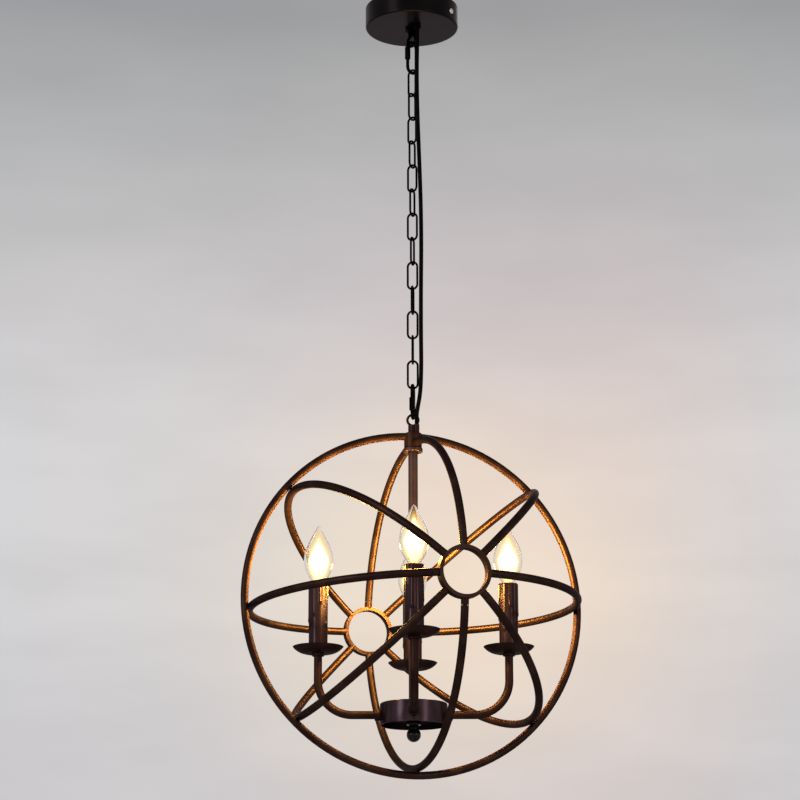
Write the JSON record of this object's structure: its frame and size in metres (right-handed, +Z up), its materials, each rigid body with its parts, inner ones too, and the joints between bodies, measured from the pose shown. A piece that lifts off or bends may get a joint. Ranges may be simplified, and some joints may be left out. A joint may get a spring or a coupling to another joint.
{
  "type": "orb chandelier",
  "caption": "Open wire-cage orb chandelier with candle lamps on bent arms, hung by a chain and cord from a round ceiling canopy.",
  "frame": {"origin": "centre of the mounting plate's top face, on the ceiling", "axes": "+Z up into the ceiling, +X to the right and +Y away as seen in the picture"},
  "size_m": [0.3968, 0.3918, 0.9505],
  "materials": {
    "bronze": "satin",
    "zinc": "satin",
    "silver": "polished",
    "black_plastic": "matte",
    "white_plastic": "matte",
    "lead": "matte",
    "cord": "matte",
    "glass": "polished"
  },
  "bodies": {
    "ceiling_side": {"mounting_plate": "zinc", "canopy": "bronze", "canopy_side_screws": "silver", "canopy_loop": "bronze", "canopy_loop_nut": "zinc", "cord_gland": "black_plastic", "terminal_block": "white_plastic", "canopy_leads": "lead", "power_cord": "cord"},
    "upper_quick_link_body": {"upper_quick_link": "bronze"},
    "upper_sleeve_body": {"upper_quick_link_sleeve": "bronze"},
    "link_01_body": {"chain_link_01": "bronze"},
    "link_02_body": {"chain_link_02": "bronze"},
    "link_03_body": {"chain_link_03": "bronze"},
    "link_04_body": {"chain_link_04": "bronze"},
    "link_05_body": {"chain_link_05": "bronze"},
    "link_06_body": {"chain_link_06": "bronze"},
    "link_07_body": {"chain_link_07": "bronze"},
    "link_08_body": {"chain_link_08": "bronze"},
    "link_09_body": {"chain_link_09": "bronze"},
    "link_10_body": {"chain_link_10": "bronze"},
    "link_11_body": {"chain_link_11": "bronze"},
    "link_12_body": {"chain_link_12": "bronze"},
    "link_13_body": {"chain_link_13": "bronze"},
    "lower_quick_link_body": {"lower_quick_link": "bronze"},
    "lower_sleeve_body": {"lower_quick_link_sleeve": "bronze"},
    "pendant": {"fixture_loop": "bronze", "cage_boss": "bronze", "stem_collar": "bronze", "outer_ring": "bronze", "cage_arc_top_front": "bronze", "cage_arc_top_back": "bronze", "cage_arc_upper_left": "bronze", "cage_arc_left": "bronze", "cage_arc_lower_left": "bronze", "cage_arc_bottom": "bronze", "cage_arc_lower_right": "bronze", "cage_arc_right": "bronze", "cage_arc_upper_right": "bronze", "porthole_front": "bronze", "porthole_back": "bronze", "stem": "bronze", "hub_body": "bronze", "hub_cover": "bronze", "hub_nut": "zinc", "finial": "bronze", "arm_right": "bronze", "arm_back": "bronze", "arm_left": "bronze", "arm_front": "bronze", "arm_collars": "bronze", "drip_pans": "bronze", "candle_sleeves": "bronze", "lampholders": "black_plastic", "wiring_harness": "lead"},
    "bulb_right_body": {"bulb_right": "glass"},
    "bulb_back_body": {"bulb_back": "glass"},
    "bulb_left_body": {"bulb_left": "glass"},
    "bulb_front_body": {"bulb_front": "glass"}
  },
  "joints": [
    {"name": "upper_quick_link_swing", "type": "hinge", "parent": "ceiling_side", "child": "upper_quick_link_body", "pos_m": [0, 0, -0.0485], "axis": [-0.6593, 0.7518, 0], "range_deg": [-20, 20], "deforming": ["power_cord"]},
    {"name": "link_01_swing", "type": "hinge", "parent": "upper_quick_link_body", "child": "link_01_body", "pos_m": [0, 0, -0.0842], "axis": [0.7518, 0.6593, 0], "range_deg": [-20, 20], "deforming": ["power_cord"]},
    {"name": "link_02_swing", "type": "hinge", "parent": "link_01_body", "child": "link_02_body", "pos_m": [0, 0, -0.1145], "axis": [-0.7071, 0.7071, 0], "range_deg": [-5, 5], "deforming": ["power_cord"]},
    {"name": "link_03_swing", "type": "hinge", "parent": "link_02_body", "child": "link_03_body", "pos_m": [0, 0, -0.1455], "axis": [0.6593, 0.7518, 0], "range_deg": [-5, 5], "deforming": ["power_cord"]},
    {"name": "link_04_swing", "type": "hinge", "parent": "link_03_body", "child": "link_04_body", "pos_m": [0, 0, -0.1765], "axis": [-0.7934, 0.6088, 0], "range_deg": [-5, 5], "deforming": ["power_cord"]},
    {"name": "link_05_swing", "type": "hinge", "parent": "link_04_body", "child": "link_05_body", "pos_m": [0, 0, -0.2075], "axis": [0.5556, 0.8315, 0], "range_deg": [-5, 5], "deforming": ["power_cord"]},
    {"name": "link_06_swing", "type": "hinge", "parent": "link_05_body", "child": "link_06_body", "pos_m": [0, 0, -0.2385], "axis": [-0.866, 0.5, 0], "range_deg": [-5, 5], "deforming": ["power_cord"]},
    {"name": "link_07_swing", "type": "hinge", "parent": "link_06_body", "child": "link_07_body", "pos_m": [0, 0, -0.2695], "axis": [0.4423, 0.8969, 0], "range_deg": [-5, 5], "deforming": ["power_cord"]},
    {"name": "link_08_swing", "type": "hinge", "parent": "link_07_body", "child": "link_08_body", "pos_m": [0, 0, -0.3005], "axis": [-0.9239, 0.3827, 0], "range_deg": [-5, 5], "deforming": ["power_cord"]},
    {"name": "link_09_swing", "type": "hinge", "parent": "link_08_body", "child": "link_09_body", "pos_m": [0, 0, -0.3315], "axis": [0.3214, 0.9469, 0], "range_deg": [-5, 5], "deforming": ["power_cord"]},
    {"name": "link_10_swing", "type": "hinge", "parent": "link_09_body", "child": "link_10_body", "pos_m": [0, 0, -0.3625], "axis": [-0.9659, 0.2588, 0], "range_deg": [-5, 5], "deforming": ["power_cord"]},
    {"name": "link_11_swing", "type": "hinge", "parent": "link_10_body", "child": "link_11_body", "pos_m": [0, 0, -0.3935], "axis": [0.1951, 0.9808, 0], "range_deg": [-5, 5], "deforming": ["power_cord"]},
    {"name": "link_12_swing", "type": "hinge", "parent": "link_11_body", "child": "link_12_body", "pos_m": [0, 0, -0.4245], "axis": [-0.9914, 0.1305, 0], "range_deg": [-5, 5], "deforming": ["power_cord"]},
    {"name": "link_13_swing", "type": "hinge", "parent": "link_12_body", "child": "link_13_body", "pos_m": [0, 0, -0.4555], "axis": [0.0654, 0.9979, 0], "range_deg": [-5, 5], "deforming": ["power_cord"]},
    {"name": "lower_quick_link_swing", "type": "hinge", "parent": "link_13_body", "child": "lower_quick_link_body", "pos_m": [0, 0, -0.4865], "axis": [1, 0, 0], "range_deg": [-10, 10], "deforming": ["power_cord"]},
    {"name": "pendant_swing", "type": "hinge", "parent": "lower_quick_link_body", "child": "pendant", "pos_m": [0, 0, -0.5229], "axis": [0.1392, 0.9903, 0], "range_deg": [-10, 10], "deforming": ["power_cord"]},
    {"name": "upper_sleeve_slide", "type": "slide", "parent": "upper_quick_link_body", "child": "upper_sleeve_body", "axis": [0, 0, -1], "range_m": [0, 0.0085]},
    {"name": "lower_sleeve_slide", "type": "slide", "parent": "lower_quick_link_body", "child": "lower_sleeve_body", "axis": [0, 0, 1], "range_m": [0, 0.0085]},
    {"name": "bulb_right_out", "type": "slide", "parent": "pendant", "child": "bulb_right_body", "axis": [0, 0, 1], "range_m": [0, 0.017]},
    {"name": "bulb_back_out", "type": "slide", "parent": "pendant", "child": "bulb_back_body", "axis": [0, 0, 1], "range_m": [0, 0.017]},
    {"name": "bulb_left_out", "type": "slide", "parent": "pendant", "child": "bulb_left_body", "axis": [0, 0, 1], "range_m": [0, 0.017]},
    {"name": "bulb_front_out", "type": "slide", "parent": "pendant", "child": "bulb_front_body", "axis": [0, 0, 1], "range_m": [0, 0.017]}
  ]
}
